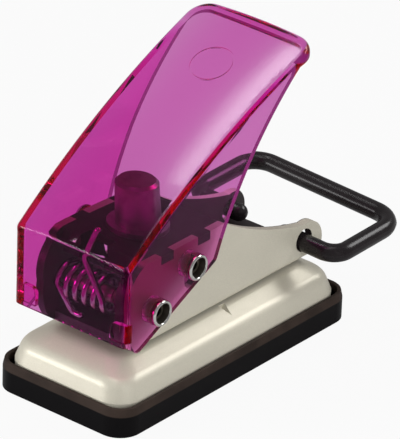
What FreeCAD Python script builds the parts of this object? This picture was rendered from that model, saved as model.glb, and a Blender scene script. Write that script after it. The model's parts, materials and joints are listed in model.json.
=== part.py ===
"""One-hole desk punch: a clear lever on a steel frame, over a silver base in a black tray.

Frame: +Z up, +X right, +Y to the back, where the wire bail is. The origin is the centre of
the tray's underside. Sizes are in millimetres.
"""
import FreeCAD, Part
import math
import os
from FreeCAD import Vector

# ---------------------------------------------------------------- driving dimensions
# tray
tray_length = 100.0
tray_width = 47.4
tray_height = 8.6
tray_corner_radius = 6.8
tray_rim = 1.6
tray_band_height = 2.3
tray_band_inset = 0.5
tray_floor = 1.6
tray_edge_round = 0.3

# base plate: a pressed shell that stands in the tray
plate_clearance = 0.4
plate_rise = 16.1
plate_wall = 2.0
plate_corner_radius = 8.0
plate_corner_draw = 0.35
skirt_lean = 1.7
skirt_height = 5.4
shoulder_round = 4.5
crown_inset = 9.0
crown_drop = 3.7
crown_round = 8.0
mark_y = 4.0
mark_half_width = 1.4
mark_depth = 2.2
mark_length = 5.0

# frame: an upright channel of bent steel
throat = 1.9
frame_half_width = 15.4
frame_steel = 2.5
frame_bend_radius = 1.8
frame_front_y = -40.4
frame_top_z = 46.0
nose_half = 8.5
nose_low_set = 0.9
nose_high_set = 1.3
frame_step_y = -0.5
web_front_y = -36.5
web_back_y = 41.4
ear_y = 38.5
ear_z = 24.0
ear_radius = 6.9
ear_lean = 1.6
dip_y = 16.0
dip_z = 37.3

# guide bridge between the frame's side plates
bridge_front_y = -33.0
bridge_thickness = 2.6
bridge_lip_height = 6.0
leg_notch_x = -2.1
leg_notch_width = 9.0
leg_notch_depth = 4.0
tenon_length = 5.0
tenon_inset = 6.0
tenon_clearance = 0.1

# lever hinge and drive pin
axle_y = -31.2
axle_z = 31.7
axle_radius = 2.3
axle_bore_radius = 1.5
pin_reach = 17.0
pin_rest_angle = 29.3
lever_travel = 21.0
running_clearance = 0.05
slot_clearance = 0.2

# punch
punch_y = -18.0
punch_radius = 3.0
punch_tip_lift = 1.0
bite_radius = 6.0
bite_depth = 0.6
head_radius = 5.9
head_top_z = 59.7
head_bottom_z = 30.6
head_chamfer = 0.8
socket_depth = 6.6
barrel_radius = 5.6
barrel_flange_radius = 7.4
barrel_flange_thickness = 2.0
collar_radius = 8.2
collar_thickness = 1.4
die_radius = 8.5
die_neck_radius = 5.0
die_thickness = 3.0
die_clearance = 0.08
screw_radius = 1.25
screw_head_radius = 2.3
screw_head_height = 1.2
screw_spacing = 12.6

# fasteners and spacer between frame and base
spacer_half_width = 9.5
spacer_back_y = 37.0
hole_margin = 12.0
rivet_radius = 2.0
rivet_head_radius = 3.6
rivet_head_height = 1.6
rivet_clearance = 0.04
front_rivet_y = 2.0
back_rivet_y = 30.0

# lever cover: a clear moulded shell
lever_side_gap = 2.6
lever_flare = 0.9
lever_wall = 2.4
ridge_y = -45.6
ridge_z = 50.7
crown_rise = 4.2
tail_y = 33.0
tail_z = 92.7
tail_wall_height = 4.5
tail_land = 8.4
tail_land_drop = 1.9
chin_step = 1.0
chin_z = 25.8
chin_low_y = -40.6
chin_low_z = 22.6
heel_y = -8.4
heel_z = 39.2
flank_bulge = 3.6
heel_radius = 2.2
chin_radius = 2.5
crown_sag = 1.0
front_edge_round = 2.2
inner_corner_radius = 0.6
tail_corner_radius = 6.5
top_edge_round = 2.0
boss_radius = 3.9
boss_gap = 0.2
gate_ring_y = 12.3
gate_ring_radius = 6.4
gate_ring_width = 0.45
gate_ring_depth = 0.3
tab_width = 4.6
tab_height = 6.0
tab_thickness = 1.8
tab_corner_radius = 2.0

# eyelets at the ends of both pins
eyelet_radius = 3.85
eyelet_lip = 0.9
eyelet_sleeve = 0.7
eyelet_recess = 2.2
pin_bore_depth = 9.0

# torsion spring round the lever's axle
spring_wire_radius = 0.95
spring_mean_radius = 5.0
spring_turns = 5
spring_side_gap = 0.25
spring_pitch = 3.3
spring_gap = 0.35
leg_bend_x = -1.7
leg_bend_z = 42.3
leg_top_x = 2.1
leg_top_z = 51.6
foot_x = -7.3
foot_y = -34.4
foot_length = 2.8
spacer_tube_radius = 3.2

# bail: a coated wire in the frame's ears
bail_wire_radius = 2.75
bail_y = 37.3
bail_z = 25.7
bail_half_width = 26.8
bail_arm = 28.4
bail_front_bend = 5.0
bail_back_bend = 7.6
bail_tip_inset = 8.6
bail_pitch = 1.2
bail_rack = 2.4
bail_hole_clearance = 0.75

# ---------------------------------------------------------------- derived levels
plate_top_z = tray_floor + plate_rise
frame_bottom_z = plate_top_z + throat
web_top_z = frame_bottom_z + frame_steel
inner_half_width = frame_half_width - frame_steel
lever_half_width = frame_half_width + lever_side_gap + lever_wall
spring_start_x = spring_side_gap + spring_wire_radius - inner_half_width
crown_y = (ridge_y + tail_y) / 2
crown_z = (ridge_z + tail_z) / 2 + crown_rise
tail_low_z = tail_z - tail_wall_height
lever_inner_half = lever_half_width - lever_wall
seat_x = lever_half_width + 0.2
stop_y = punch_y + hole_margin
pin_y = axle_y + pin_reach * math.cos(math.radians(pin_rest_angle))
pin_z = axle_z + pin_reach * math.sin(math.radians(pin_rest_angle))
pin_low_angle = pin_rest_angle - lever_travel
pin_low_y = axle_y + pin_reach * math.cos(math.radians(pin_low_angle))
pin_low_z = axle_z + pin_reach * math.sin(math.radians(pin_low_angle))
punch_stroke = pin_z - pin_low_z
punch_tip_z = frame_bottom_z + punch_tip_lift
sleeve_radius = axle_radius + eyelet_sleeve
bridge_bottom_z = frame_top_z - bridge_thickness
die_top_z = plate_top_z
die_seat_z = plate_top_z - plate_wall
die_bottom_z = die_seat_z - die_thickness
sleeve_start_x = lever_inner_half - 0.6
BIG = 400.0


# ---------------------------------------------------------------- helpers
def box(x0, x1, y0, y1, z0, z1):
    return Part.makeBox(x1 - x0, y1 - y0, z1 - z0, Vector(x0, y0, z0))


def rod_x(radius, x0, x1, y, z):
    return Part.makeCylinder(radius, x1 - x0, Vector(x0, y, z), Vector(1, 0, 0))


def span(side, inner, outer):
    """The two x values of a stretch on the left (side = -1) or the right (side = 1)."""
    return sorted((side * inner, side * outer))


def rod_z(radius, z0, z1, x, y):
    return Part.makeCylinder(radius, z1 - z0, Vector(x, y, z0), Vector(0, 0, 1))


def rounded_rectangle(half_x, half_y, radius, z):
    """Closed wire of four lines and four corner arcs, at height z."""
    k = radius * (1 - math.sqrt(0.5))
    edges = []
    corners = [(1, 1), (-1, 1), (-1, -1), (1, -1)]
    for i, (sx, sy) in enumerate(corners):
        ax = Vector(sx * half_x, sy * (half_y - radius), z)
        ay = Vector(sx * (half_x - radius), sy * half_y, z)
        middle = Vector(sx * (half_x - k), sy * (half_y - k), z)
        first, last = (ax, ay) if sx * sy > 0 else (ay, ax)
        edges.append(Part.Arc(first, middle, last).toShape())
        nx, ny = corners[(i + 1) % 4]
        if nx * ny > 0:
            following = Vector(nx * half_x, ny * (half_y - radius), z)
        else:
            following = Vector(nx * (half_x - radius), ny * half_y, z)
        edges.append(Part.LineSegment(last, following).toShape())
    return Part.Wire(edges)


def slab(half_x, half_y, radius, z0, z1):
    face = Part.Face(rounded_rectangle(half_x, half_y, radius, z0))
    return face.extrude(Vector(0, 0, z1 - z0))


def side_profile(path, half_width):
    """Extrude a closed outline in the YZ plane to both sides of x = 0.

    Each entry is a point (y, z), or a pair of points: the middle and the end of an arc.
    """
    def at(p):
        return Vector(-half_width, p[0], p[1])

    edges = []
    here = path[0]
    for step in path[1:]:
        if isinstance(step[0], tuple):
            middle, end = step
            edges.append(Part.Arc(at(here), at(middle), at(end)).toShape())
            here = end
        else:
            edges.append(Part.LineSegment(at(here), at(step)).toShape())
            here = step
    if here != path[0]:
        edges.append(Part.LineSegment(at(here), at(path[0])).toShape())
    return Part.Face(Part.Wire(edges)).extrude(Vector(2 * half_width, 0, 0))


def edges_near(shape, test):
    """The shape's edges whose middle point passes the test."""
    found = []
    for edge in shape.Edges:
        middle = edge.valueAt((edge.FirstParameter + edge.LastParameter) / 2)
        if test(edge, middle):
            found.append(edge)
    return found


def kidney_slot(radius, low_angle, high_angle, half_slot, half_length):
    """Slot along an arc about the lever's axle, through both side plates."""
    def at(reach, angle):
        a = math.radians(angle)
        return (axle_y + reach * math.cos(a), axle_z + reach * math.sin(a))

    middle_angle = (low_angle + high_angle) / 2
    cap = math.degrees(half_slot / radius)
    return side_profile([at(radius - half_slot, low_angle),
                         (at(radius - half_slot, middle_angle), at(radius - half_slot, high_angle)),
                         (at(radius, high_angle + cap), at(radius + half_slot, high_angle)),
                         (at(radius + half_slot, middle_angle), at(radius + half_slot, low_angle)),
                         (at(radius, low_angle - cap), at(radius - half_slot, low_angle))],
                        half_length)


def save(shape, name):
    shape.exportStep("parts/" + name + ".step")


# ---------------------------------------------------------------- tray and base
def chip_tray():
    half_x, half_y = tray_width / 2, tray_length / 2
    band_z = tray_height - tray_band_height
    outer = slab(half_x, half_y, tray_corner_radius, 0, band_z)
    low = rounded_rectangle(half_x, half_y, tray_corner_radius, band_z)
    high = rounded_rectangle(half_x - tray_band_inset, half_y - tray_band_inset,
                             tray_corner_radius - tray_band_inset, tray_height)
    outer = outer.fuse(Part.makeLoft([low, high], True, True))
    inner = slab(half_x - tray_rim, half_y - tray_rim, tray_corner_radius - tray_rim,
                 tray_floor, tray_height + 1)
    tray = outer.cut(inner)
    top_edges = edges_near(tray, lambda e, m: m.z > tray_height - 0.01)
    return tray.makeFillet(tray_edge_round, top_edges)


def pillow(inset, top_z, bottom_z):
    """Solid of the base plate's outer form, moved inwards by inset.

    A leaning skirt, then a rounded shoulder, then a gentle slope up to the flat top. Both
    blends are held to what the corners leave at their level.
    """
    half_x = tray_width / 2 - tray_rim - plate_clearance - inset
    half_y = tray_length / 2 - tray_rim - plate_clearance - inset
    shoulder_z = top_z - crown_drop
    levels = [(0, bottom_z), (0, shoulder_z - skirt_height), (skirt_lean, shoulder_z), (crown_inset, top_z)]
    radii = [plate_corner_radius - inset - plate_corner_draw * drawn_in for drawn_in, z in levels]
    wires = [rounded_rectangle(half_x - drawn_in, half_y - drawn_in, radius, z)
             for (drawn_in, z), radius in zip(levels, radii)]
    form = Part.makeLoft(wires, True, True)
    for level, blend in ((top_z, min(crown_round, 2.85 * radii[3])),
                         (shoulder_z, min(shoulder_round, 0.85 * radii[2]))):
        form = form.makeFillet(blend, edges_near(form, lambda e, m: abs(m.z - level) < 0.01))
    return form


def stamped_marks():
    """The V grooves stamped across both shoulders, level with the paper stop."""
    groove = side_profile([(mark_y - mark_half_width * 2, plate_top_z + mark_depth),
                           (mark_y, plate_top_z - mark_depth),
                           (mark_y + mark_half_width * 2, plate_top_z + mark_depth)], tray_width / 2)
    reach = [span(side, inner_half_width, frame_half_width + mark_length) for side in (-1, 1)]
    left, right = (groove.common(box(near, far, -BIG, BIG, 0, BIG)) for near, far in reach)
    return left.fuse(right)


def base_plate():
    marks = stamped_marks()
    hollow = pillow(plate_wall, plate_top_z - plate_wall, tray_floor - 1)
    hollow = hollow.cut(marks.translated(Vector(0, 0, -plate_wall)))
    shell = pillow(0, plate_top_z, tray_floor).cut(hollow).cut(marks)
    shell = shell.cut(rod_z(die_neck_radius + die_clearance, die_bottom_z, plate_top_z + 1, 0, punch_y))
    for y in (front_rivet_y, back_rivet_y):
        shell = shell.cut(rod_z(rivet_radius + rivet_clearance, die_bottom_z, plate_top_z + 1, 0, y))
    for x in (-screw_spacing / 2, screw_spacing / 2):
        shell = shell.cut(rod_z(screw_radius, die_seat_z - 1, plate_top_z - 0.6, x, punch_y))
    return shell


def die_bush():
    die = rod_z(die_radius, die_bottom_z, die_seat_z, 0, punch_y)
    die = die.fuse(rod_z(die_neck_radius, die_seat_z, die_top_z, 0, punch_y))
    die = die.cut(rod_z(punch_radius + die_clearance, die_bottom_z - 1, die_top_z + 1, 0, punch_y))
    for x in (-screw_spacing / 2, screw_spacing / 2):
        die = die.cut(rod_z(screw_radius, die_bottom_z - 1, die_seat_z + 1, x, punch_y))
    return die


def die_screws():
    screws = []
    for x in (-screw_spacing / 2, screw_spacing / 2):
        head = rod_z(screw_head_radius, die_bottom_z - screw_head_height, die_bottom_z, x, punch_y)
        screw = head.fuse(rod_z(screw_radius, die_bottom_z, plate_top_z - 0.7, x, punch_y))
        slot = box(x - BIG, x + BIG, punch_y - 0.3, punch_y + 0.3,
                   die_bottom_z - screw_head_height - 1, die_bottom_z - screw_head_height / 2)
        screws.append(screw.cut(slot))
    return Part.makeCompound(screws)


def stop_plate():
    plate = box(-spacer_half_width, spacer_half_width, stop_y, spacer_back_y, plate_top_z, frame_bottom_z)
    for y in (front_rivet_y, back_rivet_y):
        plate = plate.cut(rod_z(rivet_radius + rivet_clearance, plate_top_z - 1, frame_bottom_z + 1, 0, y))
    return plate


def dome(radius, height, z, y, up):
    """Shallow round rivet head standing on height z."""
    ball_radius = (radius ** 2 + height ** 2) / (2 * height)
    centre_z = z - up * (ball_radius - height)
    ball = Part.makeSphere(ball_radius, Vector(0, y, centre_z))
    low, high = (z, z + height) if up > 0 else (z - height, z)
    return ball.common(rod_z(radius, low, high, 0, y))


def frame_rivets():
    rivets = []
    for y in (front_rivet_y, back_rivet_y):
        rivet = rod_z(rivet_radius, die_seat_z, web_top_z, 0, y)
        rivet = rivet.fuse(dome(rivet_head_radius, rivet_head_height, web_top_z, y, 1))
        rivets.append(rivet.fuse(dome(rivet_head_radius, rivet_head_height, die_seat_z, y, -1)))
    return Part.makeCompound(rivets)


# ---------------------------------------------------------------- frame
def frame_outline():
    ear_top = (ear_y - ear_lean, ear_z + math.sqrt(ear_radius ** 2 - ear_lean ** 2))
    foot_y = ear_y + math.sqrt(ear_radius ** 2 - (ear_z - frame_bottom_z) ** 2)
    nose_z = (frame_bottom_z + frame_top_z) / 2
    return [(web_front_y, frame_bottom_z),
            ((frame_front_y + nose_low_set, nose_z - nose_half), (frame_front_y, nose_z)),
            ((frame_front_y + nose_high_set, nose_z + nose_half), (bridge_front_y, frame_top_z)),
            (frame_step_y, frame_top_z),
            ((dip_y, dip_z), ear_top),
            ((ear_y + ear_radius, ear_z), (foot_y, frame_bottom_z))]


def tenon_spans():
    length = frame_step_y - bridge_front_y
    first = bridge_front_y + tenon_inset
    second = bridge_front_y + length - tenon_inset - tenon_length
    return [(first, first + tenon_length), (second, second + tenon_length)]


def frame_channel():
    channel = side_profile(frame_outline(), frame_half_width)
    bends = edges_near(channel, lambda e, m: abs(m.z - frame_bottom_z) < 0.01 and abs(m.x) > 1)
    channel = channel.makeFillet(frame_bend_radius, bends)
    channel = channel.cut(box(-inner_half_width, inner_half_width, -BIG, BIG, web_top_z, BIG))
    channel = channel.cut(box(-inner_half_width, inner_half_width, web_back_y, BIG, 0, BIG))
    channel = channel.cut(box(-inner_half_width, inner_half_width, -BIG, web_front_y + 1, 0, BIG))
    channel = channel.cut(rod_x(axle_radius + running_clearance, -BIG, BIG, axle_y, axle_z))
    channel = channel.cut(rod_x(bail_wire_radius + bail_hole_clearance, -BIG, BIG, bail_y, bail_z))
    channel = channel.cut(kidney_slot(pin_reach, pin_low_angle - 1, pin_rest_angle + 1,
                                      axle_radius + slot_clearance, frame_half_width + 1))
    channel = channel.cut(rod_z(barrel_radius, 0, web_top_z + 1, 0, punch_y))
    for y in (front_rivet_y, back_rivet_y):
        channel = channel.cut(rod_z(rivet_radius + rivet_clearance, 0, web_top_z + 1, 0, y))
    for start, end in tenon_spans():
        channel = channel.cut(box(-BIG, BIG, start - tenon_clearance, end + tenon_clearance,
                                  bridge_bottom_z - tenon_clearance, frame_top_z + 1))
    return channel


def guide_bridge():
    half = inner_half_width - tenon_clearance / 2
    bridge = box(-half, half, bridge_front_y, frame_step_y, bridge_bottom_z, frame_top_z)
    lip = box(-half, half, bridge_front_y, bridge_front_y + bridge_thickness,
              frame_top_z - bridge_lip_height, frame_top_z)
    bridge = bridge.fuse(lip)
    notch_x = leg_notch_x - leg_notch_width / 2
    bridge = bridge.cut(box(notch_x, notch_x + leg_notch_width, -BIG, bridge_front_y + leg_notch_depth, 0, BIG))
    for start, end in tenon_spans():
        bridge = bridge.fuse(box(-frame_half_width, frame_half_width, start, end,
                                 bridge_bottom_z, frame_top_z))
    return bridge.removeSplitter().cut(rod_z(head_radius + 1.0, 0, BIG, 0, punch_y))


def guide_collar():
    collar = rod_z(collar_radius, frame_top_z, frame_top_z + collar_thickness, 0, punch_y)
    collar = collar.fuse(rod_z(head_radius + 1.0, bridge_bottom_z, frame_top_z, 0, punch_y))
    return collar.cut(rod_z(head_radius + running_clearance, 0, BIG, 0, punch_y))


def punch_barrel():
    flange_top = web_top_z + barrel_flange_thickness
    barrel = rod_z(barrel_radius, frame_bottom_z, web_top_z, 0, punch_y)
    barrel = barrel.fuse(rod_z(barrel_flange_radius, web_top_z, flange_top, 0, punch_y))
    return barrel.cut(rod_z(punch_radius + running_clearance, 0, BIG, 0, punch_y))


# ---------------------------------------------------------------- punch
def pin_slot_cut():
    """The level slot in the punch head that the drive pin works in."""
    reach = axle_radius + slot_clearance
    return box(-BIG, BIG, pin_y, pin_low_y, pin_z - reach, pin_z + reach).fuse(
        [rod_x(reach, -BIG, BIG, pin_y, pin_z), rod_x(reach, -BIG, BIG, pin_low_y, pin_z)])


def punch_head():
    head = rod_z(head_radius, head_bottom_z, head_top_z, 0, punch_y)
    head = head.makeChamfer(head_chamfer, edges_near(head, lambda e, m: abs(m.z - head_top_z) < 0.01))
    head = head.cut(pin_slot_cut())
    return head.cut(rod_z(punch_radius, head_bottom_z - 1, head_bottom_z + socket_depth, 0, punch_y))


def punch_pin():
    punch = rod_z(punch_radius, punch_tip_z, head_bottom_z + socket_depth, 0, punch_y)
    bite = rod_x(bite_radius, -BIG, BIG, punch_y, punch_tip_z - bite_radius + bite_depth)
    return punch.cut(bite)


# ---------------------------------------------------------------- lever
def unit(a, b):
    d = math.hypot(b[0] - a[0], b[1] - a[1])
    return ((b[0] - a[0]) / d, (b[1] - a[1]) / d)


def arc_centre(a, b, c):
    """Centre and radius of the circle through three points of the side view."""
    d = 2 * (a[0] * (b[1] - c[1]) + b[0] * (c[1] - a[1]) + c[0] * (a[1] - b[1]))
    sa, sb, sc = (p[0] ** 2 + p[1] ** 2 for p in (a, b, c))
    y = (sa * (b[1] - c[1]) + sb * (c[1] - a[1]) + sc * (a[1] - b[1])) / d
    z = (sa * (c[0] - b[0]) + sb * (a[0] - c[0]) + sc * (b[0] - a[0])) / d
    return (y, z), math.hypot(a[0] - y, a[1] - z)


def lever_plan(inset, lead, back_radius, z0, z1):
    """Upright prism of the lever's plan: wider at the back, with large back corners.

    It starts lead ahead of the ridge, along the same sides.
    """
    slope = lever_flare / (tail_y - ridge_y)
    front, back = ridge_y - lead, tail_y - inset

    def half(y):
        return lever_half_width - inset + slope * (y - ridge_y)

    outline = [Vector(-half(front), front, z0), Vector(half(front), front, z0),
               Vector(half(back), back, z0), Vector(-half(back), back, z0)]
    prism = Part.Face(Part.makePolygon(outline + outline[:1])).extrude(Vector(0, 0, z1 - z0))
    corners = edges_near(prism, lambda e, m: abs(m.y - back) < 0.01 and abs(m.z - (z0 + z1) / 2) < 1)
    return prism.makeFillet(back_radius, corners)


def flank_middle(low, high):
    """Middle point of the cover's curved rear edge, off the line from low to high."""
    d = unit(low, high)
    return ((low[0] + high[0]) / 2 - d[1] * flank_bulge, (low[1] + high[1]) / 2 + d[0] * flank_bulge)


def tail_round(centre):
    """The top edge's rounding, held to what the tail's corners leave on their slope."""
    slope = math.atan2(centre[0] - tail_y, tail_z - centre[1])
    return min(top_edge_round, 0.9 * tail_corner_radius * (1 - math.sin(slope)))


def lever_body():
    """The lever's outer form before it is hollowed."""
    centre, radius = arc_centre((ridge_y, ridge_z), (crown_y, crown_z), (tail_y, tail_z))
    over = 10.0
    heel = (heel_y, heel_z)
    flank_top = (tail_y - tail_land, tail_low_z - tail_land_drop)
    land_slope = tail_land_drop / tail_land
    outline = [(ridge_y, chin_z), (ridge_y, tail_z + over), (tail_y + over, tail_z + over),
               (tail_y + over, tail_low_z + over * land_slope), flank_top,
               (flank_middle(heel, flank_top), heel), (chin_low_y, chin_low_z),
               (ridge_y + chin_step, chin_z)]
    body = side_profile(outline, lever_half_width + lever_flare + 1)

    def along_x(y, z):
        return edges_near(body, lambda e, m: abs(m.x) < 0.01 and math.hypot(m.y - y, m.z - z) < 0.05)

    body = body.makeFillet(heel_radius, along_x(heel_y, heel_z))
    body = body.makeFillet(chin_radius, along_x(chin_low_y, chin_low_z))
    plan = lever_plan(0, over, tail_corner_radius, chin_low_z - over, tail_z + over)
    block = plan.common(crowned_ring(centre, radius))
    block = block.makeFillet(tail_round(centre), edges_near(block, lambda e, m: (
        on_crown(m, centre, radius) and m.y > ridge_y - over / 2)))
    form = block.common(body)
    upright = edges_near(form, lambda e, m: (
        abs(m.y - ridge_y) < 0.01 and abs(m.x) > lever_half_width - 0.01 and m.z > chin_z))
    return form.makeFillet(front_edge_round, upright)


def on_crown(point, centre, radius):
    reach = math.hypot(point.y - centre[0], point.z - centre[1])
    return abs(reach - radius + crown_sag * (point.x / lever_half_width) ** 2) < 0.12


def crowned_ring(centre, radius):
    """Turned body whose rim is the lever's crowned top. It runs on past both ends by an angle."""
    run_on = 5.0
    wide = lever_half_width + lever_flare + lever_wall
    sag = crown_sag * (wide / lever_half_width) ** 2
    low = radius - tail_z
    left = Vector(-wide, centre[0], centre[1] + radius - sag)
    right = Vector(wide, centre[0], centre[1] + radius - sag)
    top = Vector(0, centre[0], centre[1] + radius)
    edges = [Part.Arc(left, top, right).toShape(),
             Part.LineSegment(right, Vector(wide, centre[0], centre[1] + low)).toShape(),
             Part.LineSegment(Vector(wide, centre[0], centre[1] + low),
                              Vector(-wide, centre[0], centre[1] + low)).toShape(),
             Part.LineSegment(Vector(-wide, centre[0], centre[1] + low), left).toShape()]
    section = Part.Face(Part.Wire(edges))
    axis = Vector(0, centre[0], centre[1])
    front = math.degrees(math.atan2(centre[0] - ridge_y, ridge_z - centre[1])) + run_on
    back = math.degrees(math.atan2(tail_y - centre[0], tail_z - centre[1])) + run_on
    section.rotate(axis, Vector(1, 0, 0), front)
    return section.revolve(axis, Vector(1, 0, 0), -front - back)


def lever_hollow():
    """The space inside the cover, open below and behind."""
    ridge, crown, tail = (ridge_y, ridge_z), (crown_y, crown_z), (tail_y, tail_z)
    centre, _ = arc_centre(ridge, crown, tail)
    depth = lever_wall + crown_sag / 2

    def inward(p):
        d = unit(p, centre)
        return (p[0] + d[0] * depth, p[1] + d[1] * depth)

    over = 10.0
    front_y, back_y = ridge_y - over, tail_y + over
    front, back = inward(ridge), inward(tail)
    front_rise = (inward(crown)[1] - front[1]) / (inward(crown)[0] - front[0])
    back_rise = (back[1] - inward(crown)[1]) / (back[0] - inward(crown)[0])
    outline = [(front_y, chin_low_z - over), (front_y, front[1] - (front[0] - front_y) * front_rise),
               front, (inward(crown), back), (back_y, back[1] + (back_y - back[0]) * back_rise),
               (back_y, chin_low_z - over)]
    hollow = side_profile(outline, lever_half_width + lever_flare)
    plan = lever_plan(lever_wall, -lever_wall, tail_corner_radius - lever_wall, chin_low_z - over, tail_z)
    corners = edges_near(plan, lambda e, m: (
        abs(m.y - ridge_y - lever_wall) < 0.01 and abs(m.z - (chin_low_z - over + tail_z) / 2) < 1))
    return hollow.common(plan.makeFillet(inner_corner_radius, corners))


def lever_cover():
    cover = lever_body().cut(lever_hollow())
    for y, z in ((axle_y, axle_z), (pin_y, pin_z)):
        for side in (-1, 1):
            cover = cover.fuse(rod_x(boss_radius, *span(side, frame_half_width + boss_gap,
                                                        lever_inner_half + 1.0), y, z))
    front = ridge_y + lever_wall - 0.5
    for side in (-1, 1):
        near, far = span(side, lever_inner_half - tab_width, lever_inner_half + 0.5)
        tab = box(near, far, front, front + tab_thickness, chin_z + 0.4, chin_z + tab_height)
        cover = cover.fuse(tab.makeFillet(tab_corner_radius, edges_near(tab, lambda e, m: (
            abs(abs(m.x) - lever_inner_half + tab_width) < 0.01 and abs(m.z - chin_z - tab_height) < 0.01))))
    for y, z in ((axle_y, axle_z), (pin_y, pin_z)):
        cover = cover.cut(rod_x(axle_radius, -BIG, BIG, y, z))
        for side in (-1, 1):
            cover = cover.cut(rod_x(sleeve_radius, *span(side, sleeve_start_x, BIG), y, z))
            cover = cover.cut(rod_x(eyelet_radius + 0.05, *span(side, seat_x, BIG), y, z))
    return cover.cut(gate_ring())


def gate_ring():
    """Shallow ring groove in the lever's top, square to the surface."""
    centre, radius = arc_centre((ridge_y, ridge_z), (crown_y, crown_z), (tail_y, tail_z))
    rise = math.sqrt(radius ** 2 - (gate_ring_y - centre[0]) ** 2)
    surface = (gate_ring_y, centre[1] + rise)
    down = unit(surface, centre)
    direction = Vector(0, down[0], down[1])
    reach = lever_wall + gate_ring_depth
    start = Vector(0, surface[0], surface[1]) - direction * lever_wall
    outer = Part.makeCylinder(gate_ring_radius, reach, start, direction)
    return outer.cut(Part.makeCylinder(gate_ring_radius - gate_ring_width, reach, start, direction))


def pin_tube(y, z):
    """Steel pin across the lever, drilled at both ends and recessed in its eyelets."""
    end = seat_x + eyelet_lip - eyelet_recess
    pin = rod_x(axle_radius, -end, end, y, z)
    for side in (-1, 1):
        pin = pin.cut(rod_x(axle_bore_radius, *span(side, end - pin_bore_depth, end + 1), y, z))
    return pin


def eyelet_pair(y, z):
    """Flared lips on the outside of the lever, each with its sleeve in the wall."""
    eyelets = []
    outer_x = seat_x + eyelet_lip
    for side in (-1, 1):
        shape = rod_x(eyelet_radius, *span(side, seat_x, outer_x), y, z)
        rim = edges_near(shape, lambda e, m: abs(abs(m.x) - outer_x) < 0.01)
        shape = shape.makeFillet(eyelet_lip * 0.6, rim)
        shape = shape.fuse(rod_x(sleeve_radius, *span(side, sleeve_start_x, outer_x), y, z))
        shape = shape.cut(rod_x(axle_radius, -BIG, BIG, y, z))
        mouth_x = outer_x - eyelet_recess
        cone = Part.makeCone(axle_radius, sleeve_radius, eyelet_recess,
                             Vector(side * mouth_x, y, z), Vector(side, 0, 0))
        eyelets.append(shape.cut(cone))
    return Part.makeCompound(eyelets)


def sweep_tube(points_and_arcs, radius):
    """Round bar along a wire of edges."""
    wire = Part.Wire(points_and_arcs)
    first = wire.OrderedEdges[0]
    start = first.valueAt(first.FirstParameter)
    tangent = first.tangentAt(first.FirstParameter)
    profile = Part.Wire([Part.Circle(start, tangent, radius).toShape()])
    return wire.makePipeShell([profile], True, True)


def wire_run(points, radius):
    """Straight lengths of round wire joined by balls, with a ball at the far end."""
    shape = None
    for start, end in zip(points, points[1:]):
        run = Part.makeCylinder(radius, (end - start).Length, start, end - start)
        run = run.fuse(Part.makeSphere(radius, end))
        shape = run if shape is None else shape.fuse(run)
    return shape


def torsion_spring():
    """Open coil round the axle, one leg up to the cover and one down to the web."""
    length = spring_turns * spring_pitch
    helix = Part.makeHelix(spring_pitch, length, spring_mean_radius, 0, True)
    helix.rotate(Vector(0, 0, 0), Vector(0, 1, 0), 90)
    helix.rotate(Vector(0, 0, 0), Vector(1, 0, 0), -90)
    helix.translate(Vector(spring_start_x, axle_y, axle_z))
    edge = helix.Edges[0]
    start, tangent = edge.valueAt(edge.FirstParameter), edge.tangentAt(edge.FirstParameter)
    profile = Part.Wire([Part.Circle(start, tangent, spring_wire_radius).toShape()])
    coil = Part.Wire(helix.Edges).makePipeShell([profile], True, True)
    front_y = axle_y - spring_mean_radius
    end = Vector(spring_start_x + length, front_y, axle_z)
    begin = Vector(spring_start_x, front_y, axle_z)
    foot_z = web_top_z + spring_wire_radius + spring_gap
    up_leg = [end, Vector(leg_bend_x, front_y - 0.5, leg_bend_z), Vector(leg_top_x, front_y, leg_top_z)]
    down_leg = [begin, Vector(foot_x, foot_y, foot_z), Vector(foot_x + foot_length, foot_y, foot_z)]
    for leg in (up_leg, down_leg):
        coil = coil.fuse(Part.makeSphere(spring_wire_radius, leg[0]))
        coil = coil.fuse(wire_run(leg, spring_wire_radius))
    return coil


def axle_spacer():
    start = spring_start_x + spring_turns * spring_pitch + spring_wire_radius + spring_gap
    tube = rod_x(spacer_tube_radius, start, inner_half_width - running_clearance, axle_y, axle_z)
    return tube.cut(rod_x(axle_radius + running_clearance, -BIG, BIG, axle_y, axle_z))


# ---------------------------------------------------------------- bail
def bail_path():
    """Centre line of the wire from one tip to the other, as straight runs and bends."""
    corners = [Vector(bail_tip_inset, 0, 0), Vector(bail_half_width, 0, 0),
               Vector(bail_half_width, bail_arm, 0), Vector(-bail_half_width, bail_arm, 0),
               Vector(-bail_half_width, 0, 0), Vector(-bail_tip_inset, 0, 0)]
    bends = [bail_front_bend, bail_back_bend, bail_back_bend, bail_front_bend]
    edges = []
    here = corners[0]
    for i, bend in enumerate(bends):
        before, at, after = corners[i], corners[i + 1], corners[i + 2]
        towards = (at - before).normalize()
        away = (after - at).normalize()
        start = at - towards * bend
        end = at + away * bend
        middle = at + (away - towards) * (bend * (1 - math.sqrt(0.5)))
        edges.append(Part.LineSegment(here, start).toShape())
        edges.append(Part.Arc(start, middle, end).toShape())
        here = end
    edges.append(Part.LineSegment(here, corners[-1]).toShape())
    return edges


def bail_wire():
    bail = sweep_tube(bail_path(), bail_wire_radius)
    for side in (-1, 1):
        bail = bail.fuse(Part.makeSphere(bail_wire_radius, Vector(side * bail_tip_inset, 0, 0)))
    bail.rotate(Vector(0, 0, 0), Vector(1, 0, 0), bail_pitch)
    bail.rotate(Vector(0, 0, 0), Vector(0, 1, 0), bail_rack)
    bail.translate(Vector(0, bail_y, bail_z))
    return bail


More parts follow.
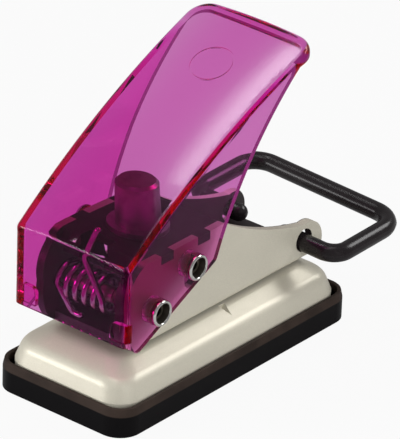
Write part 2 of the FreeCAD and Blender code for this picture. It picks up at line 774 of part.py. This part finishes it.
# ---------------------------------------------------------------- the parts
os.makedirs("parts", exist_ok=True)
save(chip_tray(), "chip_tray")
save(base_plate(), "base_plate")
save(die_bush(), "die_bush")
save(die_screws(), "die_screws")
save(stop_plate(), "stop_plate")
save(frame_rivets(), "frame_rivets")
save(frame_channel(), "frame_channel")
save(guide_bridge(), "guide_bridge")
save(guide_collar(), "guide_collar")
save(punch_barrel(), "punch_barrel")
save(punch_head(), "punch_head")
save(punch_pin(), "punch_pin")
save(lever_cover(), "lever_cover")
save(pin_tube(axle_y, axle_z), "lever_axle")
save(pin_tube(pin_y, pin_z), "drive_pin")
save(eyelet_pair(axle_y, axle_z), "axle_eyelets")
save(eyelet_pair(pin_y, pin_z), "drive_pin_eyelets")
save(axle_spacer(), "axle_spacer")
save(torsion_spring(), "torsion_spring")
save(bail_wire(), "bail_wire")
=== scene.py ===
"""Looks of a one-hole desk punch: clear lever, painted frame and base, black tray and wire bail.

Lengths are in metres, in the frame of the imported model: +Z up, +X right, +Y to the bail.
"""
import json
import math

import bmesh
import bpy
from mathutils import Matrix, Vector


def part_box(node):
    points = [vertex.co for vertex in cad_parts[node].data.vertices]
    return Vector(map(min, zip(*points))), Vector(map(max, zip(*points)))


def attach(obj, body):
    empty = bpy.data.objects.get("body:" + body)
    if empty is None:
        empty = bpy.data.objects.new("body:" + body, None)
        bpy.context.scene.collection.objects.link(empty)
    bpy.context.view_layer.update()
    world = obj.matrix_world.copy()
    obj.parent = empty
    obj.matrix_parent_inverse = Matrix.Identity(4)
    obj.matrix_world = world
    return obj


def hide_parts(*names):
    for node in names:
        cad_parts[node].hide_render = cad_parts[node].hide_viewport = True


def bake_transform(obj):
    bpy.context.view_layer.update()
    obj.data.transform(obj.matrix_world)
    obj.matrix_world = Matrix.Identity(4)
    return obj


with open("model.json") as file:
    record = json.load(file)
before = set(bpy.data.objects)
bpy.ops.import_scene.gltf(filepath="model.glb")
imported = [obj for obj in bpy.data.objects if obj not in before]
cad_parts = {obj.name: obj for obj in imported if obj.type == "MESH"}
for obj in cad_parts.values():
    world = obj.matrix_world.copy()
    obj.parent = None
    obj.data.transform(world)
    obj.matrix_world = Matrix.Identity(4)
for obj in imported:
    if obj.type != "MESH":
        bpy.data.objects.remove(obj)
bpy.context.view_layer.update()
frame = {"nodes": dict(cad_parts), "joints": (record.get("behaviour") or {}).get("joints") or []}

bl_info = {
    "name": "Desk Punch",
    "version": (1, 0, 0),
    "blender": (4, 5, 0),
    "location": "View3D > Sidebar > Desk Punch",
    "description": "Dresses the packed desk punch with its finishes, its wire parts and a studio",
    "category": "Object",
}

MM = 0.001
NODES = frame["nodes"]
WHITE = (1.0, 1.0, 1.0, 1.0)


# ---------------------------------------------------------------- shader values
class Value:
    """One shader socket. Arithmetic on it adds Math nodes to the finish that it belongs to."""

    def __init__(self, finish, socket):
        self.finish = finish
        self.socket = socket

    def math(self, operation, *others):
        sockets = dict(enumerate((self, *others)))
        return self.finish.add("ShaderNodeMath", {"operation": operation}, sockets)

    def __add__(self, other):
        return self.math("ADD", other)

    __radd__ = __add__

    def __mul__(self, other):
        return self.math("MULTIPLY", other)

    __rmul__ = __mul__

    def __sub__(self, other):
        return self.math("SUBTRACT", other)

    def __rsub__(self, other):
        return self.math("MULTIPLY_ADD", -1.0, other)

    def ramp(self, low, high, start=0.0, end=1.0):
        """This value carried from the stretch low..high to start..end, and held at its ends."""
        limits = {0: self, 1: low, 2: high, 3: start, 4: end}
        return self.finish.add("ShaderNodeMapRange", {"interpolation_type": "SMOOTHSTEP"}, limits)


class Finish:
    """A material under construction."""

    def __init__(self, name):
        self.material = bpy.data.materials.new(name)
        self.material.use_nodes = True
        self.tree = self.material.node_tree
        self.tree.nodes.clear()

    def add(self, kind, settings=None, sockets=None, output=0):
        """Makes a node, sets its settings, then its sockets, and returns one of its outputs."""
        node = self.tree.nodes.new(kind)
        for key, value in (settings or {}).items():
            setattr(node, key, value)
        for key, value in (sockets or {}).items():
            if isinstance(value, Value):
                self.tree.links.new(value.socket, node.inputs[key])
            else:
                node.inputs[key].default_value = value
        return None if output is None else Value(self, node.outputs[output])

    def mix(self, factor, first, second):
        """Two colours mixed by a factor."""
        sockets = {0: factor, 6: first, 7: second}
        return self.add("ShaderNodeMix", {"data_type": "RGBA"}, sockets, output=2)

    def noise(self, per_metre, detail=2.0, stretch=(1, 1, 1)):
        """Noise in object space, with so many features per metre."""
        place = self.add("ShaderNodeTexCoord", output="Object")
        where = self.add("ShaderNodeMapping", {}, {"Vector": place, "Scale": stretch})
        return self.add("ShaderNodeTexNoise", {}, {"Vector": where, "Scale": per_metre, "Detail": detail})

    def axis(self, name, of="Object"):
        """One coordinate of the place on the object, or of its Normal."""
        vector = self.add("ShaderNodeTexCoord", output=of)
        return self.add("ShaderNodeSeparateXYZ", {}, {0: vector}, output=name)

    def ray(self, name):
        """One fact about the ray that is being traced."""
        return self.add("ShaderNodeLightPath", output=name)

    def blend(self, factor, first, second):
        """Two shaders mixed by a factor."""
        return self.add("ShaderNodeMixShader", {}, {0: factor, 1: first, 2: second})

    def bump(self, height, distance, strength):
        """A height from 0 to 1, standing distance metres proud."""
        sockets = {"Height": height, "Distance": distance, "Strength": strength}
        return self.add("ShaderNodeBump", {}, sockets)

    def see_through(self, tone):
        return self.add("ShaderNodeBsdfTransparent", {}, {"Color": rgb(tone)})

    def principled(self, **sockets):
        named = {key.replace("_", " "): value for key, value in sockets.items()}
        return self.add("ShaderNodeBsdfPrincipled", {}, named)

    def output(self, surface, volume=None):
        sockets = {"Surface": surface}
        if volume:
            sockets["Volume"] = volume
        self.add("ShaderNodeOutputMaterial", {}, sockets, output=None)
        return self.material


def rgb(tone, gain=1.0):
    return (tone[0] * gain, tone[1] * gain, tone[2] * gain, 1.0)


# ---------------------------------------------------------------- finishes
def silver_paint(look, name="silver_paint", painted_shade_half=0.0):
    """Fine metallic paint on pressed steel. A channel can get painted shade: a dark colour inside it.

    The last argument is half the width of that painted shade. Faces that look to -Y get the painted shade
    too.
    """
    f = Finish(name)
    flake = f.noise(per_metre=9000.0, detail=1.0)
    cloud = f.noise(per_metre=60.0, detail=3.0)
    peel = f.noise(per_metre=1500.0)
    tone = f.mix(flake.ramp(0.35, 0.65), rgb(look.paint, 0.90), rgb(look.paint, 1.10))
    tone = f.mix(cloud.ramp(0.3, 0.7, 0.0, 0.25), tone, rgb(look.paint, 0.86))
    # Painted shade: a dark colour inside the channel and on faces that look to -Y, for the shade that
    # falls there. Its tone varies at random.
    if painted_shade_half:
        edge_width = 0.2 * MM
        not_forward = f.axis("Y", of="Normal").ramp(-0.5, -0.3)
        painted = f.axis("X").math("ABSOLUTE").ramp(painted_shade_half, painted_shade_half + edge_width) * not_forward
        shaded = f.mix(cloud.ramp(0.3, 0.7), rgb(look.painted_shade), rgb(look.painted_shade, 0.6))
        tone = f.mix(painted, shaded, tone)
    return f.output(f.principled(
        Base_Color=tone, Metallic=look.paint_metal, Roughness=flake * 0.10 + look.paint_roughness,
        Normal=f.bump(peel * 0.7 + flake * 0.3, 0.04 * MM, 0.6)))


def tray_plastic(look):
    """Black moulded plastic, glossy on the walls and satin on the bevelled band. The band's lighter brown
    colour is painted light, for the light that falls on its top.
    """
    f = Finish("tray_plastic")
    edge_start, edge_width = look.tray_band_z - 0.25 * MM, 0.4 * MM
    band = f.axis("Z").ramp(edge_start, edge_start + edge_width)
    grain = f.noise(per_metre=4200.0)
    cloud = f.noise(per_metre=90.0)
    # Painted light: the band gets a lighter brown than the walls, for the light on its top face.
    tone = f.mix(band, rgb(look.tray), rgb(look.band_painted_light))
    tone = f.mix(cloud.ramp(0.35, 0.7, 0.0, 0.4), tone, rgb(look.tray, 0.8))
    return f.output(f.principled(
        Base_Color=tone, Roughness=band * 0.16 + grain * 0.08 + 0.30,
        Specular_IOR_Level=0.08, Normal=f.bump(grain, 0.03 * MM, 0.5)))


def black_coating(look):
    """Glossy dipped coating on wire."""
    f = Finish("black_coating")
    ripple = f.noise(per_metre=260.0)
    dust = f.noise(per_metre=5200.0, detail=1.0)
    tone = f.mix(ripple.ramp(0.35, 0.7), rgb(look.bail), rgb(look.bail, 1.35))
    return f.output(f.principled(
        Base_Color=tone, Roughness=dust * 0.05 + 0.22, Specular_IOR_Level=0.34,
        Normal=f.bump(ripple * 0.9 + dust * 0.1, 0.04 * MM, 0.4)))


STEELS = {  # name: (colour, roughness where it is smoothest)
    "turned_steel": ((0.42, 0.41, 0.40), 0.26),
    "dark_steel": ((0.42, 0.36, 0.38), 0.30),
    # Painted shade: near black steel for the guide bridge, for the shade that it sits in under the lever.
    "bridge_painted_shade": ((0.055, 0.045, 0.048), 0.50),
    # Painted shade: dark steel for the shade in the eyelets' throats.
    "throat_painted_shade": ((0.16, 0.14, 0.12), 0.30),
    "pin_steel": ((0.40, 0.36, 0.30), 0.28),
    "spring_steel": ((0.56, 0.50, 0.56), 0.10),
}


def turned_steel(name):
    """Turned steel with fine tool rings across Z."""
    plain, smooth = STEELS[name]
    f = Finish(name)
    rings = f.noise(per_metre=900.0, stretch=(0.05, 0.05, 6.0))
    stain = f.noise(per_metre=300.0, detail=3.0)
    tone = f.mix(stain.ramp(0.4, 0.75), rgb(plain), rgb(plain, 0.72))
    return f.output(f.principled(
        Base_Color=tone, Metallic=1.0, Roughness=rings * 0.16 + smooth,
        Normal=f.bump(rings, 0.02 * MM, 0.6)))


def bright_plating(look):
    """Polished nickel, duller where the tool rolled it over."""
    f = Finish("bright_plating")
    haze = f.noise(per_metre=1400.0)
    tone = f.mix(haze.ramp(0.4, 0.8), rgb(look.plating), rgb(look.plating, 0.8))
    return f.output(f.principled(
        Base_Color=tone, Metallic=1.0, Roughness=haze * 0.12 + 0.06,
        Normal=f.bump(haze, 0.01 * MM, 0.5)))


def clear_plastic(look):
    """Clear tinted plastic: the tint is in its volume, so thick edges go deep red.

    Its upper faces have a soft gloss of their own. Light that stays caught between the skins
    ends on a plain deep red, and shadows and reflections pass through the skins, tinted.
    """
    f = Finish("clear_plastic")
    flow = f.noise(per_metre=45.0, stretch=(1.0, 0.4, 1.0))
    hair = f.noise(per_metre=2600.0, detail=1.0, stretch=(1.0, 0.08, 0.08))
    solid = f.principled(
        Base_Color=WHITE, Transmission_Weight=1.0, IOR=1.49, Specular_IOR_Level=0.12,
        Specular_Tint=rgb((0.06, 0.06, 0.06)), Coat_Roughness=0.12,
        Coat_Weight=f.axis("Z", of="Normal").ramp(0.1, 0.6, 0.02, 0.45),
        Roughness=hair.ramp(0.55, 0.9, 0.0, 0.012), Normal=f.bump(flow, 0.015 * MM, 0.5))

    most_bounces = 18.5
    caught = f.ray("Ray Depth").math("GREATER_THAN", most_bounces)
    solid = f.blend(caught, solid, f.add("ShaderNodeBsdfTranslucent", {}, {"Color": rgb(look.deep)}))

    # A ray that has passed an even number of skins is outside the plastic.
    outside = 1.0 - f.ray("Transmission Depth").math("MODULO", 2.0)
    mirrored = f.ray("Is Glossy Ray") * (1.0 - f.ray("Is Transmission Ray")) * outside
    solid = f.blend(mirrored, solid, f.see_through(look.sheer))

    shading = f.ray("Is Shadow Ray").math("MAXIMUM", f.ray("Is Diffuse Ray"))
    surface = f.blend(shading, solid, f.see_through(look.shade))
    tint = {"Color": rgb(look.tint), "Density": look.tint_density}
    return f.output(surface, f.add("ShaderNodeVolumeAbsorption", {}, tint))


def floor_finish(look):
    """Pale floor that stays near white for the camera and keeps the shadow."""
    f = Finish("floor_finish")
    through = f.ray("Is Transmission Ray")
    mirror = f.ray("Is Glossy Ray") - through
    seen = f.ray("Is Camera Ray") + through * look.through_glow + mirror * look.mirror_glow
    grey = rgb((look.floor, look.floor, look.floor))
    matt = f.principled(Base_Color=grey, Roughness=0.9, Specular_IOR_Level=0.1)
    glow = f.add("ShaderNodeEmission", {}, {"Color": WHITE, "Strength": 1.0})
    return f.output(f.blend(seen * look.floor_glow, matt, glow))


# ---------------------------------------------------------------- mesh helpers
def mesh_piece(name, build, smooth_angle=40.0):
    """A new object whose mesh is made by build(bm)."""
    bm = bmesh.new()
    build(bm)
    bmesh.ops.remove_doubles(bm, verts=bm.verts, dist=1e-7)
    bmesh.ops.recalc_face_normals(bm, faces=bm.faces)
    mesh = bpy.data.meshes.new(name)
    bm.to_mesh(mesh)
    bm.free()
    mesh.shade_smooth()
    mesh.set_sharp_from_angle(angle=math.radians(smooth_angle))
    piece = bpy.data.objects.new(name, mesh)
    bpy.context.scene.collection.objects.link(piece)
    return piece


def bridge(bm, rings):
    """Quads between neighbouring rings of equal length."""
    count = len(rings[0])
    for a, b in zip(rings, rings[1:]):
        for i in range(count):
            j = (i + 1) % count
            bm.faces.new((a[i], a[j], b[j], b[i]))


def tube(bm, path, radius, sides, profile=None):
    """A round bar along a list of points, with rounded ends. profile(angle) scales the radius.

    The angle is counted from the top of the bar, and the path's first stretch isn't upright.
    """
    last = len(path) - 1
    tangents = [(path[min(i + 1, last)] - path[max(i - 1, 0)]).normalized() for i in range(len(path))]
    up = Vector((0, 0, 1))
    crossings = []
    for tangent in tangents:
        up = (up - tangent * up.dot(tangent)).normalized()
        crossings.append((up, tangent.cross(up)))

    def ring(centre, crossing, scale):
        upward, across = crossing
        made = []
        for k in range(sides):
            angle = 2 * math.pi * k / sides
            reach = radius * scale * (profile(angle) if profile else 1.0)
            rise, run = reach * math.cos(angle), reach * math.sin(angle)
            made.append(bm.verts.new(centre + upward * rise + across * run))
        return made

    dome_rings, flat_share = 5, 0.35
    dome = [math.pi / 2 * k / (dome_rings + flat_share) for k in range(1, dome_rings + 1)]
    rings = []
    for angle in reversed(dome):
        centre = path[0] - tangents[0] * (radius * math.sin(angle))
        rings.append(ring(centre, crossings[0], math.cos(angle)))
    for point, crossing in zip(path, crossings):
        rings.append(ring(point, crossing, 1.0))
    for angle in dome:
        centre = path[-1] + tangents[-1] * (radius * math.sin(angle))
        rings.append(ring(centre, crossings[-1], math.cos(angle)))
    bridge(bm, rings)
    bm.faces.new(rings[0])
    bm.faces.new(list(reversed(rings[-1])))


def lathe(bm, profile, centre, axis, sides=64):
    """Turns (radius, height) points round an axis through centre."""
    axis = Vector(axis).normalized()
    u = axis.orthogonal().normalized()
    v = axis.cross(u)
    rings = []
    for radius, height in profile:
        made = []
        for k in range(sides):
            angle = 2 * math.pi * k / sides
            around = u * math.cos(angle) + v * math.sin(angle)
            made.append(bm.verts.new(Vector(centre) + axis * height + around * radius))
        rings.append(made)
    bridge(bm, rings)


def dress(material, *nodes):
    """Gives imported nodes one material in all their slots."""
    for node in nodes:
        mesh = NODES[node].data
        mesh.materials.clear()
        mesh.materials.append(material)


def seat(piece, body, node):
    """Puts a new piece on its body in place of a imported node."""
    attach(piece, body)
    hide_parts(node)


# ---------------------------------------------------------------- what a user would change
def length(name, description, default):
    return bpy.props.FloatProperty(name=name, description=description, default=default, unit="LENGTH")


def fraction(name, description, default):
    return bpy.props.FloatProperty(name=name, description=description, default=default, subtype="FACTOR")


def colour(name, description, default):
    return bpy.props.FloatVectorProperty(name=name, description=description, default=default,
                                         subtype="COLOR", min=0.0, max=1.0)


class DeskPunchSizes(bpy.types.PropertyGroup):
    """Sizes of the pieces that are made here."""

    wire: length("Bail wire", "Radius of the coated bail wire", 2.75 * MM)
    seam: length("Bail seam", "How far the coating's parting line stands out", 0.10 * MM)
    spring_wire: length("Spring wire", "Radius of the return spring's wire", 0.95 * MM)
    spring_radius: length("Coil radius", "Mean radius of the spring's coil", 5.0 * MM)
    eyelet: length("Eyelet", "Radius of an eyelet's rolled lip", 3.85 * MM)
    floor: length("Floor", "Half side of the studio floor", 3.0)


class DeskPunchLook(bpy.types.PropertyGroup):
    """Colours and finishes."""

    paint: colour("Paint", "Colour of the frame and the base plate", (0.65, 0.615, 0.51))
    paint_metal: fraction("Paint flake", "How metallic the paint is", 0.34)
    paint_roughness: fraction("Paint roughness", "Roughness of the paint", 0.37)
    # Painted shade: a dark colour for the shade inside the frame's channel, and half the width that it
    # covers.
    painted_shade: colour("Shaded steel", "Colour of the oiled steel inside the frame", (0.046, 0.034, 0.036))
    painted_shade_half: length("Shaded half width", "Half width of the frame's bare inside", 13.0 * MM)
    tray: colour("Tray", "Colour of the tray's walls", (0.004, 0.0035, 0.004))
    # Painted light: the band's colour is lighter than the walls', for the light that falls on it.
    band_painted_light: colour("Tray band", "Colour of the tray's bevelled band", (0.040, 0.028, 0.023))
    tray_band_z: length("Band height", "Where the tray's bevelled band begins", 6.3 * MM)
    bail: colour("Bail", "Colour of the bail's coating", (0.010, 0.0075, 0.0085))
    plating: colour("Plating", "Colour of the eyelets", (0.86, 0.85, 0.82))
    tint: colour("Tint", "Colour that the clear plastic lets through", (0.988, 0.058, 0.829))
    tint_density: bpy.props.FloatProperty(
        name="Tint density", description="Absorption of the plastic per metre", default=480.0)
    deep: colour("Deep tint", "Colour of light that stays caught in the plastic", (0.42, 0.010, 0.045))
    sheer: colour("Plastic sheer", "Light that each skin lets by in a reflection", (0.86, 0.34, 0.74))
    shade: colour("Plastic shade", "Light that each skin lets by into a shadow", (0.43, 0.12, 0.28))
    floor: fraction("Floor tone", "Grey level of the studio floor", 0.40)
    floor_glow: fraction("Floor glow", "Share of plain white in the floor as seen", 0.93)
    through_glow: fraction("Glow through", "Part of the floor's glow seen through the plastic", 0.25)
    mirror_glow: fraction("Mirrored glow", "Part of the floor's glow seen in reflections", 0.06)
    key_power: bpy.props.FloatProperty(
        name="Key light", description="Power of the main softbox", default=3.35, unit="POWER")


# ---------------------------------------------------------------- pieces
class DESKPUNCH_OT_tray(bpy.types.Operator):
    """Finish the chip tray"""

    bl_idname = "deskpunch.tray"
    bl_label = "Tray"

    def execute(self, context):
        dress(tray_plastic(context.scene.desk_punch_look), "chip_tray")
        return {"FINISHED"}


class DESKPUNCH_OT_painted(bpy.types.Operator):
    """Paint the base plate and the frame, with painted shade inside the frame"""

    bl_idname = "deskpunch.painted"
    bl_label = "Painted Steel"

    def execute(self, context):
        look = context.scene.desk_punch_look
        dress(silver_paint(look), "base_plate")
        # The frame's paint has painted shade inside its channel.
        dress(silver_paint(look, "frame_paint_and_painted_shade", look.painted_shade_half), "frame_channel")
        return {"FINISHED"}


class DESKPUNCH_OT_tooling(bpy.types.Operator):
    """Finish the punch, its head, guides and die, the stop plate, rivets, screws and pins"""

    bl_idname = "deskpunch.tooling"
    bl_label = "Tooling"

    def execute(self, context):
        dress(turned_steel("turned_steel"), "die_bush", "die_screws", "stop_plate", "frame_rivets",
              "guide_collar", "punch_barrel", "punch_pin")
        dress(turned_steel("dark_steel"), "punch_head")
        # The guide bridge gets painted shade: a near black steel.
        dress(turned_steel("bridge_painted_shade"), "guide_bridge")
        dress(turned_steel("pin_steel"), "lever_axle", "drive_pin")
        return {"FINISHED"}


class DESKPUNCH_OT_lever(bpy.types.Operator):
    """Make the lever's cover and the spacer clear"""

    bl_idname = "deskpunch.lever"
    bl_label = "Clear Lever"

    def execute(self, context):
        dress(clear_plastic(context.scene.desk_punch_look), "lever_cover", "axle_spacer")
        return {"FINISHED"}


def eyelet_profile(radius, lip, hole, depth):
    """Rolled lip of one eyelet from its seat on the lever, then its throat down to the pin's end."""
    rolled = ((0.86, 0.0), (1.0, 0.0), (1.0, 0.30), (0.985, 0.55), (0.95, 0.78), (0.90, 0.94),
              (0.855, 1.0), (0.81, 0.94), (0.775, 0.78), (0.755, 0.55), (0.735, 0.2), (0.70, -0.3))
    wall, top = radius * 0.775, lip * -0.1
    bottom = lip - depth
    foot = bottom - 1.0 * MM
    points = [(radius * out, lip * up) for out, up in rolled]
    return points + [(hole, bottom), (hole, foot), (wall, foot), (wall, top), points[0]]


class DESKPUNCH_OT_eyelets(bpy.types.Operator):
    """Roll the four eyelets, bright on the lip and dark in the throat, where shade is painted"""

    bl_idname = "deskpunch.eyelets"
    bl_label = "Eyelets"

    def execute(self, context):
        radius = context.scene.desk_punch_sizes.eyelet
        lip, hole, depth = 0.9 * MM, 2.32 * MM, 2.2 * MM
        throat_radius = radius * 0.745
        profile = eyelet_profile(radius, lip, hole, depth)
        plating = bright_plating(context.scene.desk_punch_look)
        # Painted shade: the throat gets a dark steel for the shade in its hollow.
        throat = turned_steel("throat_painted_shade")
        for node in ("axle_eyelets", "drive_pin_eyelets"):
            low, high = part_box(node)
            middle = (low + high) / 2
            seat_x = high.x - lip

            def build(bm):
                for side in (-1, 1):
                    lathe(bm, profile, (side * seat_x, middle.y, middle.z), (side, 0, 0))

            eyelets = mesh_piece("rolled_" + node, build)
            eyelets.data.materials.append(plating)
            eyelets.data.materials.append(throat)
            for face in eyelets.data.polygons:
                reach = math.hypot(face.center.y - middle.y, face.center.z - middle.z)
                face.material_index = int(reach < throat_radius)
            seat(eyelets, "lever", node)
        return {"FINISHED"}


def spring_path(radius):
    """Centre line of the spring: its foot on the frame, its coil and the leg up to the cover.

    The numbers and the coil's radius are in millimetres, and the points are in metres.
    """
    axle_y, axle_z = -31.2, 31.7
    turns, pitch, start_x, steps = 5, 3.3, -11.7, 26
    front = axle_y - radius
    foot = [(-4.5, -34.4, 23.4), (-6.0, -34.4, 23.4), (-7.2, -34.5, 23.6), (-8.0, -34.9, 25.0),
            (-9.9, -35.7, 28.6), (-11.2, -36.15, 31.0)]
    coil = []
    for i in range(turns * steps + 1):
        angle = 2 * math.pi * i / steps
        coil.append((start_x + pitch * i / steps, axle_y - radius * math.cos(angle),
                     axle_z + radius * math.sin(angle)))
    leg = [(4.3, front - 0.15, 33.2), (2.4, front - 0.35, 36.6), (0.0, front - 0.45, 40.4),
           (-1.2, front - 0.5, 42.4), (-1.3, front - 0.5, 43.8), (-0.4, front - 0.4, 46.2),
           (2.1, front, 51.6)]
    return [Vector(point) * MM for point in foot + coil + leg]


class DESKPUNCH_OT_spring(bpy.types.Operator):
    """Wind the return spring, with its foot on the frame and its long leg in the cover"""

    bl_idname = "deskpunch.spring"
    bl_label = "Return Spring"

    def execute(self, context):
        sizes = context.scene.desk_punch_sizes
        path = spring_path(sizes.spring_radius / MM)
        spring = mesh_piece("wound_spring", lambda bm: tube(bm, path, sizes.spring_wire, sides=14))
        spring.data.materials.append(turned_steel("spring_steel"))
        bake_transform(spring)
        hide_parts("torsion_spring")
        return {"FINISHED"}


def bail_path():
    """Centre line of the bail before it is tilted, from tip to tip, in millimetres."""
    half, arm, inset = 26.8, 28.4, 8.6
    bends, steps = (5.0, 7.6, 7.6, 5.0), 12
    corners = [Vector((x, y, 0)) for x, y in (
        (inset, 0), (half, 0), (half, arm), (-half, arm), (-half, 0), (-inset, 0))]
    points = [corners[0], corners[0].lerp(corners[1], 0.3)]
    for bend, before, at, after in zip(bends, corners, corners[1:], corners[2:]):
        towards = (at - before).normalized()
        away = (after - at).normalized()
        centre = at - towards * bend + away * bend
        for k in range(steps + 1):
            angle = math.pi / 2 * k / steps
            points.append(centre - away * (bend * math.cos(angle)) + towards * (bend * math.sin(angle)))
        if after is not corners[-1]:
            points.append((at + after) / 2)
    return points + [corners[4].lerp(corners[5], 0.7), corners[5]]


class DESKPUNCH_OT_bail(bpy.types.Operator):
    """Bend the coated wire bail, with the parting line of its coating"""

    bl_idname = "deskpunch.bail"
    bl_label = "Wire Bail"

    def execute(self, context):
        sizes = context.scene.desk_punch_sizes
        hinge = next(joint for joint in frame["joints"] if joint["name"] == "bail_hinge")
        lean, lift = math.radians(2.4), math.radians(1.2)
        turn = Matrix.Rotation(lean, 4, "Y") @ Matrix.Rotation(lift, 4, "X")
        path = [Vector(hinge["pos_m"]) + turn @ (point * MM) for point in bail_path()]

        def coat(angle):
            """Full radius on the parting line, at both sides of the wire, and less elsewhere."""
            line_width = 0.09
            line = math.exp(-(math.cos(angle) / line_width) ** 2)
            return 1.0 - sizes.seam / sizes.wire * (1.0 - line)

        bail = mesh_piece("coated_bail", lambda bm: tube(bm, path, sizes.wire, sides=40, profile=coat))
        bail.data.materials.append(black_coating(context.scene.desk_punch_look))
        seat(bail, "bail", "bail_wire")
        return {"FINISHED"}


# ---------------------------------------------------------------- stage
def aim(thing, place, right, up, back):
    """Puts a lamp or camera at a place, with its own three directions."""
    thing.matrix_world = Matrix.Translation(place) @ Matrix((right, up, back)).transposed().to_4x4()
    bpy.context.scene.collection.objects.link(thing)


def softbox(name, place, size, power, along=(0, 0, 1), mirrored=True):
    """An area light of so many watts that faces the punch, with its second side along a direction.

    One that isn't mirrored lights the punch and shows in no reflection.
    """
    light = bpy.data.lights.new(name, "AREA")
    light.shape = "RECTANGLE"
    light.size, light.size_y = size
    light.energy = power
    lamp = bpy.data.objects.new(name, light)
    lamp.visible_transmission = False
    lamp.visible_glossy = mirrored
    target = Vector((0, 0, 0.04))
    back = (Vector(place) - target).normalized()
    up = Vector(along)
    up = (up - back * up.dot(back)).normalized()
    aim(lamp, place, up.cross(back), up, back)


def strip_lamps():
    """Long lamps above, which the lever mirrors. Narrower ones in each give it one soft side."""
    for share in (1.0, 0.86, 0.72, 0.58, 0.44, 0.3, 0.16):
        wide = 0.060 * share
        softbox("edge_strip", (-0.315 - wide / 2, 0.04, 0.79), size=(wide, 0.36), power=2.1 * wide,
                along=(0, 1, 0))
        wide = 0.11 * share
        softbox("corner_strip", (-0.12, -0.25 + wide / 2, 0.81), size=(wide, 0.40), power=0.5 * wide,
                along=(0.45, -0.22, 0))


def studio_floor(look, half):
    """A grid under the tray, so far below it that their faces don't meet."""
    clearance = 0.05 * MM

    def build(bm):
        bmesh.ops.create_grid(bm, x_segments=8, y_segments=8, size=half)
        bmesh.ops.translate(bm, verts=bm.verts, vec=(0, 0, -clearance))

    floor = mesh_piece("studio_floor", build)
    floor.data.materials.append(floor_finish(look))


def studio_world(scene, strength):
    scene.world = bpy.data.worlds.new("studio_world")
    scene.world.use_nodes = True
    sky = scene.world.node_tree.nodes["Background"]
    sky.inputs["Color"].default_value = WHITE
    sky.inputs["Strength"].default_value = strength


def studio_camera(scene):
    """A camera that looks down at the punch from the front right.

    Its focal length and the picture's width are in pixels. The three seen distances say where
    the frame's origin lies from the camera.
    """
    focal_length, picture_width = 5174.503, 400.0
    azimuth, elevation, roll = (math.radians(angle) for angle in (39.0704, 27.6486, 1.9395))
    seen_right, seen_up, seen_ahead = Vector((-7.2105, -36.3114, 1452.2903)) * MM

    camera = bpy.data.cameras.new("studio_camera")
    camera.sensor_fit = "HORIZONTAL"
    camera.sensor_width = 36.0
    camera.lens = focal_length / picture_width * camera.sensor_width
    level = Vector((math.cos(azimuth), math.sin(azimuth), 0))
    ahead = Vector((-math.sin(azimuth) * math.cos(elevation), math.cos(azimuth) * math.cos(elevation),
                    -math.sin(elevation)))
    upright = level.cross(ahead)
    right = level * math.cos(roll) + upright * math.sin(roll)
    up = upright * math.cos(roll) - level * math.sin(roll)
    scene.camera = bpy.data.objects.new("studio_camera", camera)
    aim(scene.camera, -(right * seen_right + up * seen_up + ahead * seen_ahead), right, up, -ahead)


class DESKPUNCH_OT_stage(bpy.types.Operator):
    """Set the floor, the soft lights and the camera"""

    bl_idname = "deskpunch.stage"
    bl_label = "Studio"

    def execute(self, context):
        scene = context.scene
        look = scene.desk_punch_look
        studio_floor(look, scene.desk_punch_sizes.floor)
        softbox("key_softbox", (-0.46, -0.54, 0.41), size=(0.56, 0.50), power=look.key_power,
                mirrored=False)
        softbox("front_softbox", (-0.50, -0.68, 0.20), size=(0.45, 0.22), power=2.3)
        softbox("side_softbox", (0.75, -0.25, 0.35), size=(0.5, 0.5), power=4.8, mirrored=False)
        softbox("back_softbox", (0.27, 0.62, 0.57), size=(0.40, 0.25), power=2.4)
        strip_lamps()
        softbox("overhead_softbox", (0.0, -0.06, 0.85), size=(0.22, 0.5), power=0.6, along=(0, 1, 0))
        studio_world(scene, strength=0.25)
        studio_camera(scene)

        scene.view_settings.view_transform = "Standard"
        bounces = 24
        for limit in ("max_bounces", "glossy_bounces", "transmission_bounces", "transparent_max_bounces"):
            setattr(scene.cycles, limit, bounces)
        return {"FINISHED"}


# ---------------------------------------------------------------- panel and registration
OPERATORS = (DESKPUNCH_OT_tray, DESKPUNCH_OT_painted, DESKPUNCH_OT_tooling, DESKPUNCH_OT_lever,
             DESKPUNCH_OT_eyelets, DESKPUNCH_OT_spring, DESKPUNCH_OT_bail, DESKPUNCH_OT_stage)


class DESKPUNCH_PT_panel(bpy.types.Panel):
    """The pieces of the desk punch, in the order in which they are made"""

    bl_idname = "DESKPUNCH_PT_panel"
    bl_label = "Desk Punch"
    bl_space_type = "VIEW_3D"
    bl_region_type = "UI"
    bl_category = "Desk Punch"

    def draw(self, context):
        for group in (context.scene.desk_punch_sizes, context.scene.desk_punch_look):
            box = self.layout.box()
            for name in group.__annotations__:
                box.prop(group, name)
        for operator in OPERATORS:
            self.layout.operator(operator.bl_idname)


CLASSES = (DeskPunchSizes, DeskPunchLook, *OPERATORS, DESKPUNCH_PT_panel)


def register():
    for cls in CLASSES:
        bpy.utils.register_class(cls)
    bpy.types.Scene.desk_punch_sizes = bpy.props.PointerProperty(type=DeskPunchSizes)
    bpy.types.Scene.desk_punch_look = bpy.props.PointerProperty(type=DeskPunchLook)


def unregister():
    del bpy.types.Scene.desk_punch_look
    del bpy.types.Scene.desk_punch_sizes
    for cls in reversed(CLASSES):
        bpy.utils.unregister_class(cls)


def main():
    register()
    bpy.ops.deskpunch.tray()
    bpy.ops.deskpunch.painted()
    bpy.ops.deskpunch.tooling()
    bpy.ops.deskpunch.lever()
    bpy.ops.deskpunch.eyelets()
    bpy.ops.deskpunch.spring()
    bpy.ops.deskpunch.bail()
    bpy.ops.deskpunch.stage()


if __name__ == "__main__":
    main()
